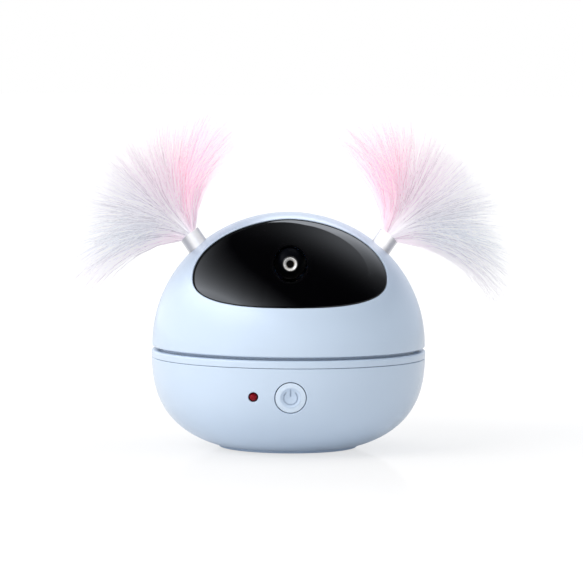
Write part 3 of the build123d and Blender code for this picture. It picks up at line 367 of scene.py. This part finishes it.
def circuit_board(name, colour):
    """Solder-masked glass board: a faint weave under the mask, and copper lines that show through it."""
    material, tree = start_material(name)
    place = tree.node("ShaderNodeTexCoord", output="Object")
    threads = {"Vector": place, "Scale": 900.0}
    warp = tree.node("ShaderNodeTexWave", {"bands_direction": "X"}, threads)
    weft = tree.node("ShaderNodeTexWave", {"bands_direction": "Y"}, threads)
    cells = {"Vector": place, "Scale": 260.0}
    track = 1.0 - tree.node("ShaderNodeTexVoronoi", {"feature": "DISTANCE_TO_EDGE"}, cells).ramp(0.03, 0.06)
    cloth = 0.5 * (warp + weft)
    mask = cloth.mix(darker(colour, 0.12), opaque(colour))
    tint = (0.55 * track).mix(mask, opaque(min(1.0, 1.7 * channel + 0.01) for channel in colour))
    relief = track + 0.1 * cloth
    bump = tree.node("ShaderNodeBump", inputs={"Height": relief, "Strength": 0.4, "Distance": 0.00004})
    varying = {"Base Color": tint, "Roughness": 0.26 + 0.1 * cloth, "Normal": bump}
    finish_material(tree, varying, {"IOR": 1.5})
    return material


board_green = circuit_board("board_green", (0.012, 0.135, 0.060))
dress(board_green, "main_board", "switch_board", "ring_board")
dress(part_black, "controller_chip")
dress(turned_metal("socket_steel", (0.70, 0.70, 0.69), 0.26, (14.0, 1.0, 1.0)), "usb_socket")

# ---------------------------------------------------------------------------------------------
# Power button: a blue cap that follows the bowl, dished for a fingertip and engraved with the
# power sign. It presses a push switch; the red lamp beside it is a tinted lens on the same board.

button_x = 0.0003
button_z = 0.0242
dish_radius = 0.0041
symbol_radius = 0.0026
symbol_half_line = 0.00022
symbol_line_blur = 0.00012
symbol_open_angle = math.radians(35.0)
symbol_bar_foot = 0.0004
symbol_bar_top = 0.0035
symbol_bar_blur = 0.0002


def marked_cap(name, colour, shaded_dish_colour):
    """Moulded cap: polished rim painted lighter as a highlight, finely grained dish painted darker as shade,
    and the engraved sign darkened by painted shade.
    """
    material, tree = start_material(name)
    place = tree.node("ShaderNodeTexCoord", output="Object")
    across = tree.node("ShaderNodeSeparateXYZ", inputs={0: place})
    up = across.other(2) - button_z
    across = across - button_x
    radius = (across * across + up * up) ** 0.5
    rim = radius.ramp(dish_radius - 0.0006, dish_radius + 0.0003)
    line_end = symbol_half_line + symbol_line_blur
    off_ring = (radius - symbol_radius).math("ABSOLUTE", radius - symbol_radius)
    ring = 1.0 - off_ring.ramp(symbol_half_line, line_end)
    beside = across.math("ABSOLUTE", across)
    closed = beside / math.tan(symbol_open_angle)
    ring = ring * closed.math("GREATER_THAN", closed, up)
    bar = 1.0 - beside.ramp(symbol_half_line, line_end)
    bar = bar * up.ramp(symbol_bar_foot, symbol_bar_foot + symbol_bar_blur)
    bar = bar * (1.0 - up.ramp(symbol_bar_top - symbol_bar_blur, symbol_bar_top))
    painted = ring.math("MAXIMUM", ring, bar)
    flow = noise(tree, place, 60.0, 3.0)
    speck = noise(tree, place, 3200.0, 2.0)
    # Painted highlight and shade: the rim takes the lighter colour, the dish the darker one.
    face = rim.mix(opaque(shaded_dish_colour), opaque(colour))
    face = (0.10 * flow).mix(face, darker(shaded_dish_colour, 0.2))
    # Painted shade in the grooves of the engraved sign: it is mixed towards a darker copy of the dish
    # colour.
    tint = (0.30 * painted).mix(face, darker(shaded_dish_colour, 0.50))
    bump = tree.node("ShaderNodeBump", inputs={"Height": speck, "Strength": 0.25, "Distance": 0.000008})
    varying = {"Base Color": tint, "Roughness": 0.40 - 0.12 * rim + 0.05 * speck, "Normal": bump}
    finish_material(tree, varying, {"Coat Weight": 0.25, "Coat Roughness": 0.12, "IOR": 1.5})
    return material


# Lighter rim colour as painted highlight, then darker dish colour as painted shade.
dress(marked_cap("pale_blue_button", (0.640, 0.765, 0.915), (0.520, 0.645, 0.815)), "power_button")
part_white = moulded_plastic("white_part_plastic", (0.72, 0.72, 0.70), 0.40, grain=0.00001)
dress(part_black, "tact_switch")
dress(part_white, "switch_plunger")


def tinted_lamp(name, colour):
    """Red epoxy lamp: cloudy deep colour, and a gloss that softens where the rim turns away."""
    material, tree = start_material(name)
    place = tree.node("ShaderNodeTexCoord", output="Object")
    cloud = noise(tree, place, 900.0, 2.0)
    rim = tree.node("ShaderNodeLayerWeight", inputs={"Blend": 0.35}, output="Facing")
    tint = cloud.mix(darker(colour, 0.35), opaque(colour))
    varying = {"Base Color": tint, "Roughness": 0.26 + 0.06 * cloud + 0.1 * rim}
    finish_material(tree, varying, {"IOR": 1.25})
    return material


dress(tinted_lamp("red_lamp", (0.260, 0.0005, 0.008)), "status_led")

# ---------------------------------------------------------------------------------------------
# Swivel and drive: a flanged white acetal bush in the deck, a small geared motor on a steel
# bracket, and its pinion in mesh with the wheel that hangs under the dome. Two brass rings on
# the ring board and two sprung brushes carry the current across the turning joint.


def gear_plastic(name, colour):
    """Unpainted acetal: faintly see-through white with swirled flow marks."""
    material, tree = start_material(name)
    place = tree.node("ShaderNodeTexCoord", output="Object")
    flow = {"Vector": place, "Scale": 160.0, "Detail": 4.0, "Distortion": 1.2}
    swirl = tree.node("ShaderNodeTexNoise", inputs=flow)
    tint = swirl.ramp(0.3, 0.75).mix(darker(colour, 0.08), opaque(colour))
    bump = tree.node("ShaderNodeBump", inputs={"Height": swirl, "Strength": 0.3, "Distance": 0.00002})
    varying = {"Base Color": tint, "Roughness": 0.34 + 0.1 * swirl, "Normal": bump}
    finish_material(tree, varying, {"Subsurface Weight": 0.08})
    return material


acetal = gear_plastic("acetal_white", (0.76, 0.76, 0.73))
dress(acetal, "swivel_bush", "drive_pinion", "hub_gear", "hub_shaft", "sector_gear", "tilt_pinion")
motor_steel = turned_metal("motor_can_steel", (0.58, 0.58, 0.57), 0.30, (1.0, 1.0, 18.0))
dress(motor_steel, "drive_motor", "drive_shaft", "tilt_motor")
dress(turned_metal("plated_bracket", (0.63, 0.62, 0.58), 0.36, (8.0, 1.0, 1.0)), "drive_bracket")
dress(part_black, "drive_gearbox")
brass = turned_metal("ring_brass", (0.72, 0.52, 0.22), 0.22, (1.0, 1.0, 1.0))
dress(brass, "ring_tracks")
dress(turned_metal("brush_copper", (0.78, 0.42, 0.26), 0.25, (1.0, 12.0, 1.0)), "contact_brushes")
dress(screw_steel, "hub_screws", "hub_washer", "hub_nut")

# ---------------------------------------------------------------------------------------------
# Dome: the turning head shell, moulded in the bowl's blue plastic. Its front is sunk for the
# visor, and a white chassis ring inside carries what turns with it: sockets, yoke and board.

dress(shell_blue, "upper_shell")
dress(part_white, "head_chassis", "laser_yoke", "left_socket", "right_socket")
dress(board_green, "head_board")
dress(screw_steel, "head_screws", "yoke_screws", "head_board_screws")

# ---------------------------------------------------------------------------------------------
# Visor: a curved lens of deep black acrylic, polished like glass and bonded flush in the dome,
# with a round opening for the laser eye. The bond shows as a dull black line round its edge.

visor_half_width = 0.0368
visor_rise = 0.0213
visor_drop = 0.0100
visor_top_power = 1.83
visor_low_power = 2.95
visor_widest_z = 0.0676
bond_line = 0.00055
bond_blur = 0.0003
eye_z = 0.0734
eye_opening = 0.0064
eye_rim = 0.0004


def black_acrylic(name, colour, roughness, dull_share):
    """Polished black acrylic, faintly rippled, with a trace of dust. It is dull where the share is 1."""
    material, tree = start_material(name)
    place = tree.node("ShaderNodeTexCoord", output="Object")
    ripple = noise(tree, place, 40.0, 1.0)
    dust = noise(tree, place, 5200.0, 1.0).ramp(0.70, 0.80)
    tint = dust.mix(opaque(colour), opaque(channel + 0.002 for channel in colour))
    bump = tree.node("ShaderNodeBump", inputs={"Height": ripple, "Strength": 0.1, "Distance": 0.00002})
    varying = {"Base Color": tint, "Roughness": roughness + 0.04 * dust, "Normal": bump}
    polished = tree.node("ShaderNodeBsdfPrincipled", inputs={"IOR": 1.5, **varying})
    dimmed = tree.node("ShaderNodeBsdfPrincipled", inputs={"Base Color": tint, "Roughness": 0.6, "IOR": 1.1})
    surface = tree.node("ShaderNodeMixShader", inputs={0: dull_share(tree, place), 1: polished, 2: dimmed})
    tree.node("ShaderNodeOutputMaterial", inputs={"Surface": surface})
    return material


def visor_edges(tree, place):
    """1 on the line of the bond round the visor and on the rim of the eye's opening, 0 elsewhere."""
    x = tree.node("ShaderNodeSeparateXYZ", inputs={0: place})
    z = x.other(2) - visor_widest_z
    upper = z.math("GREATER_THAN", z, 0.0)
    power = visor_low_power + (visor_top_power - visor_low_power) * upper
    height = visor_drop + (visor_rise - visor_drop) * upper
    across = x.math("ABSOLUTE", x) / visor_half_width
    tall = z.math("ABSOLUTE", z) / height
    share = (across ** power + tall ** power + 0.0001) ** (1.0 / power)
    reach = (x * x + z * z) ** 0.5
    inset = reach * (1.0 - share)
    line = 1.0 - inset.ramp(bond_line, bond_line + bond_blur)
    thin_corner = (x + 0.6 * z).ramp(0.002, 0.008)
    line = line * (1.0 - 0.85 * thin_corner)
    up = x.other(2) - eye_z
    from_eye = (x * x + up * up) ** 0.5
    rim_end = eye_opening + eye_rim
    rim = 1.0 - from_eye.ramp(rim_end, rim_end + bond_blur)
    return line.math("MAXIMUM", line, rim)


dress(black_acrylic("visor_black", (0.0008, 0.0008, 0.0012), 0.030, visor_edges), "visor")

# ---------------------------------------------------------------------------------------------
# Laser eye: a dark matt ball in a cradle, with a bright turned nose round the bore of the
# laser module and a small glass lens set deep in it. The nose's face falls to the bore as a cone,
# and its colour is painted near-black as shade inside the bore's radius and round its outer edge.

ball_black = moulded_plastic("eye_ball_black", (0.0012, 0.0015, 0.0030), 0.50, mottle=0.3, index=1.15)
dress(ball_black, "laser_ball")

nose_bore = 0.00135
nose_face = 0.00235
nose_slope = 0.90
bore_blur = 0.0005
face_blur = 0.0003
turning_lines = 0.00001


def laser_nose(name, colour):
    """Turned bright ring: a conical face, painted near-black as shade inside the bore's radius and past its
    outer edge.
    """
    material, tree = start_material(name)
    place = tree.node("ShaderNodeTexCoord", output="Object")
    x = tree.node("ShaderNodeSeparateXYZ", inputs={0: place})
    up = x.other(2) - eye_z
    radius = (x * x + up * up) ** 0.5
    lines = noise(tree, tree.node("ShaderNodeCombineXYZ", inputs={0: radius}), 9000.0, 2.0)
    # Painted shade: near-black inside the bore's radius and outside the face's radius, bright between.
    face = radius.ramp(nose_bore, nose_bore + bore_blur)
    face = face * (1.0 - radius.ramp(nose_face, nose_face + face_blur))
    tint = face.mix(darker(colour, 0.97), opaque(colour))
    cone = radius.math("MINIMUM", radius, nose_face)
    relief = nose_slope * cone + turning_lines * lines
    bump = tree.node("ShaderNodeBump", inputs={"Height": relief, "Strength": 1.0, "Distance": 1.0})
    varying = {"Base Color": tint, "Roughness": 0.34 + 0.08 * lines, "Normal": bump}
    finish_material(tree, varying, {"Metallic": 0.30})
    return material


dress(laser_nose("laser_nose", (0.93, 0.93, 0.92)), "laser_bezel")
dress(brass, "laser_barrel")


def lens_glass(name, colour):
    """Small dark glass lens with a thin haze on its coated face."""
    material, tree = start_material(name)
    place = tree.node("ShaderNodeTexCoord", output="Object")
    haze = noise(tree, place, 1500.0, 2.0)
    varying = {"Base Color": haze.mix(opaque(colour), darker(colour, 0.4)), "Roughness": 0.30 + 0.1 * haze}
    finish_material(tree, varying, {"IOR": 1.10})
    return material


dress(lens_glass("laser_lens", (0.004, 0.003, 0.003)), "laser_lens")

# ---------------------------------------------------------------------------------------------
# Ferrules: thin bright metal tubes, rolled and brushed satin, that grip the plumes' roots and
# plug into the sockets under the dome. Their colour runs from the bright wall to painted shade on the
# outer, lower side and on the inner edge, and they glow by a fifth of their own colour, painted light.

ferrule_lean = math.radians(34.5)
ferrule_root_x = 0.03540
ferrule_root_z = 0.07788
ferrule_radius = 0.0042
# The bright wall's colour, then the painted shade for the tube's outer, lower side and for its inner edge.
ferrule_colour_and_shades = ((0.98, 0.98, 0.98), (0.31, 0.32, 0.36), (0.50, 0.51, 0.55))


def rolled_ferrule(name, colour, dimmed, painted_inner_shade):
    """Rolled bright tube, darkened by painted shade on its outer, lower side and on its inner edge, and
    glowing faintly by a fifth of its colour as painted light.
    """
    material, tree = start_material(name)
    place = tree.node("ShaderNodeTexCoord", output="Object")
    across = tree.node("ShaderNodeSeparateXYZ", inputs={0: place})
    out = across.math("ABSOLUTE", across) - ferrule_root_x
    rise = across.other(2) - ferrule_root_z
    side = (out * math.cos(ferrule_lean) - rise * math.sin(ferrule_lean)) / ferrule_radius
    lines = noise(tree, place, 420.0, 4.0, 0.6)
    # Painted shade: darker towards the tube's outer, lower side, and a little less dark at the very edge.
    painted_outer_shade = side.ramp(0.00, 0.62) * (1.0 - 0.45 * side.ramp(0.72, 1.0))
    tint = lines.ramp(0.25, 0.8).mix(darker(colour, 0.06), opaque(colour))
    tint = (0.90 * painted_outer_shade).mix(tint, opaque(dimmed))
    # Painted shade: a grey strip along the tube's inner edge.
    tint = (0.80 - 0.80 * side.ramp(-0.92, -0.66)).mix(tint, opaque(painted_inner_shade))
    bump = tree.node("ShaderNodeBump", inputs={"Height": lines, "Strength": 0.4, "Distance": 0.00001})
    # Painted light: the tube glows by a fifth of its own colour, though it is no lamp.
    varying = {"Base Color": tint, "Emission Color": tint, "Roughness": 0.18 + 0.10 * lines, "Normal": bump}
    finish_material(tree, varying, {"Metallic": 0.20, "Emission Strength": 0.20})
    return material


dress(rolled_ferrule("satin_ferrule_painted_shade_and_glow", *ferrule_colour_and_shades), "left_ferrule", "right_ferrule")

# ---------------------------------------------------------------------------------------------
# Plumes: thousands of fine dyed strands bound in each ferrule. They leave its mouth in locks,
# fan out and bend over under their own weight. The side that faces the other plume is pink, the
# middle mauve and the outer side a cool grey-white, paler where the strands thin out.

tuft_lean = math.radians(47.5)
tuft_root = Vector((0.03868, 0.0, 0.08270))
strand_count = 5000
strands_in_lock = 8
strand_steps = 6
strand_reach = 0.0600
strand_thickness = 0.000060
strand_start = -0.0004
ferrule_bore = 0.0034
fan_angle = math.radians(76.0)


def strand_fan():
    """Geometry Nodes tree that grows a fan of strands about the Z axis, its pink side towards +X."""
    group = bpy.data.node_groups.new("strand_fan", "GeometryNodeTree")
    counts = ("Strands", "Steps", "Lock", "Seed")
    lengths = ("Reach", "Thickness", "Start", "Bore", "Fan")
    for kind, names in (("Int", counts), ("Float", lengths), ("Material", ("Material",))):
        for name in names:
            group.interface.new_socket(name=name, in_out="INPUT", socket_type=f"NodeSocket{kind}")
    group.interface.new_socket(name="Geometry", in_out="OUTPUT", socket_type="NodeSocketGeometry")
    tree = Wire(group)
    sizes = tree.node("NodeGroupInput", output="Strands")
    seed = sizes.other("Seed")
    bar = tree.node("GeometryNodeCurvePrimitiveLine")
    bar = tree.node("GeometryNodeResampleCurve", inputs={"Curve": bar, "Count": sizes.other("Steps")})
    spots = tree.node("GeometryNodePoints", inputs={"Count": sizes})
    strands = tree.node("GeometryNodeInstanceOnPoints", inputs={"Points": spots, "Instance": bar})
    strands = tree.node("GeometryNodeRealizeInstances", inputs={"Geometry": strands})

    index = tree.node("GeometryNodeCurveOfPoint", output="Curve Index")
    along = tree.node("GeometryNodeSplineParameter", output="Factor")
    lock = (index / sizes.other("Lock")).math("FLOOR", index / sizes.other("Lock"))

    def chance(which, number):
        return tree.node("FunctionNodeRandomValue", inputs={"ID": which, "Seed": seed + number}, output=1)

    # Where in the fan: each lock has its own direction and spread, and each strand strays a little.
    turn = 2.0 * math.pi * chance(lock, 1)
    wide = chance(lock, 2) ** 0.66
    loose = 0.34 - 0.17 * along
    across = wide * turn.math("COSINE", turn) + loose * (chance(index, 3) - 0.5)
    deep = wide * turn.math("SINE", turn) + loose * (chance(index, 4) - 0.5)
    across = across + 0.05 * along * (chance(lock, 5) - 0.5)
    spread = (across * across + deep * deep + 0.0009) ** 0.5
    inner = across.math("MAXIMUM", across, 0.0)

    # How long: outer strands are longest, and locks and strands differ by up to a fifth each.
    length = sizes.other("Reach") * (0.78 + 0.22 * spread * spread) * (1.0 - 0.22 * inner ** 4.0)
    length = length * (0.80 + 0.20 * chance(lock, 6) ** 0.5) * (0.80 + 0.20 * chance(index, 7) ** 0.5)

    # How bent: each strand is an arc that leans ever farther out from its root to its tip.
    lean = sizes.other("Fan") * spread
    first = 0.58 * lean
    bend = 1.42 * lean - first
    angle = first + bend * along
    radius = length / bend
    out = radius * (first.math("COSINE", first) - angle.math("COSINE", angle))
    rise = radius * (angle.math("SINE", angle) - first.math("SINE", first))
    out = out + sizes.other("Bore") * spread.math("MINIMUM", spread, 1.0)
    place = {0: out * across / spread, 1: out * deep / spread, 2: rise + sizes.other("Start")}
    place = tree.node("ShaderNodeCombineXYZ", inputs=place)
    strands = tree.node("GeometryNodeSetPosition", inputs={"Geometry": strands, "Position": place})
    stored = {"fan_side": across, "along": along, "chance": chance(index, 8), "lock": chance(lock, 9)}
    for name, value in stored.items():
        strands = tree.node("GeometryNodeStoreNamedAttribute", {"data_type": "FLOAT", "domain": "POINT"},
                            {"Geometry": strands, "Name": name, "Value": value})
    width = sizes.other("Thickness") * (1.0 - 0.72 * along) * (0.7 + 0.6 * chance(index, 10))
    section = tree.node("GeometryNodeCurvePrimitiveCircle", inputs={"Resolution": 3, "Radius": 1.0})
    inputs = {"Curve": strands, "Profile Curve": section, "Scale": width, "Fill Caps": True}
    solid = tree.node("GeometryNodeCurveToMesh", inputs=inputs)
    solid = tree.node("GeometryNodeSetShadeSmooth", inputs={"Geometry": solid})
    solid = tree.node("GeometryNodeRealizeInstances", inputs={"Geometry": solid})
    painted = {"Geometry": solid, "Material": sizes.other("Material")}
    solid = tree.node("GeometryNodeSetMaterial", inputs=painted)
    tree.node("NodeGroupOutput", inputs={"Geometry": solid})
    return group


def dyed_strands_with_painted_glow(name):
    """Soft dyed fibre: coloured by the side of the fan, by root and tip, and strand by strand, and glowing
    by a third of its own colour as painted light.
    """
    material, tree = start_material(name)

    def stored(which):
        return tree.node("ShaderNodeAttribute", {"attribute_name": which}, output="Fac")

    side = stored("fan_side")
    along = stored("along")
    chance = stored("chance")
    dyes = [(0.00, (0.820, 0.780, 0.820)), (0.20, (0.590, 0.635, 0.685)), (0.45, (0.680, 0.680, 0.725)),
            (0.68, (0.770, 0.640, 0.720)), (0.80, (0.975, 0.610, 0.745)), (1.00, (1.000, 0.710, 0.830))]
    dyed_at = 0.5 + 0.5 * side + 0.10 * (stored("lock") - 0.5)
    body = tree.node("ShaderNodeValToRGB", {"stops": dyes}, {0: dyed_at})
    aside = side.math("ABSOLUTE", side)
    root = (1.0 - along.ramp(0.05, 0.45)) * (0.35 + 0.65 * aside.ramp(0.1, 0.5))
    core = (1.0 - along.ramp(0.10, 0.50)) * (1.0 - aside.ramp(0.05, 0.35))
    pale = chance.ramp(0.66, 0.80)
    dark = 1.0 - chance.ramp(0.16, 0.26)
    tip = along.ramp(0.65, 1.0)
    for share, colour in ((0.75 * root, (1.000, 0.860, 0.920)), (0.90 * core, (0.960, 0.950, 0.965)),
                          (0.75 * pale, (0.930, 0.920, 0.940)), (0.75 * dark, (0.330, 0.300, 0.345)),
                          (0.20 * tip, (0.900, 0.890, 0.910))):
        body = share.mix(body, opaque(colour))
    # Painted light: the strands glow by a third of their own colour, standing in for light passing through
    # the fibre and for bright surroundings.
    varying = {"Base Color": body, "Emission Color": body, "Roughness": 0.55 + 0.1 * chance}
    finish_material(tree, varying, {"Emission Strength": 0.35, "Specular IOR Level": 0.25})
    return material


def grow_plume(body, side, seed, group, material):
    """Grows one plume, takes it as a plain mesh and sets it in its ferrule."""
    host = bpy.data.objects.new(body + "_host", bpy.data.meshes.new(body + "_host"))
    scene.collection.objects.link(host)
    growth = host.modifiers.new("strands", "NODES")
    growth.node_group = group
    values = {"Strands": strand_count, "Steps": strand_steps, "Lock": strands_in_lock, "Seed": seed,
              "Reach": strand_reach, "Thickness": strand_thickness, "Start": strand_start,
              "Bore": ferrule_bore, "Fan": fan_angle, "Material": material}
    for item in group.interface.items_tree:
        if item.in_out == "INPUT":
            growth[item.identifier] = values[item.name]
    grown = bpy.context.evaluated_depsgraph_get()
    keep = {"preserve_all_data_layers": True, "depsgraph": grown}
    mesh = bpy.data.meshes.new_from_object(host.evaluated_get(grown), **keep)
    bpy.data.objects.remove(host)
    axis = Vector((side * math.sin(tuft_lean), 0.0, math.cos(tuft_lean)))
    inward = Vector((-side * math.cos(tuft_lean), 0.0, math.sin(tuft_lean)))
    third = axis.cross(inward)
    place = Matrix((inward, third, axis)).transposed().to_4x4()
    place.translation = Vector((side * tuft_root.x, 0.0, tuft_root.z))
    mesh.transform(place)
    plume = bpy.data.objects.new(body + "_strands", mesh)
    scene.collection.objects.link(plume)
    plume.visible_glossy = False
    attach(plume, body)
    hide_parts(body)


strand_group = strand_fan()
strand_dye_and_glow = dyed_strands_with_painted_glow("dyed_strands_with_painted_glow")
for body, side, seed in (("left_plume", -1, 11), ("right_plume", 1, 47)):
    grow_plume(body, side, seed, strand_group, strand_dye_and_glow)
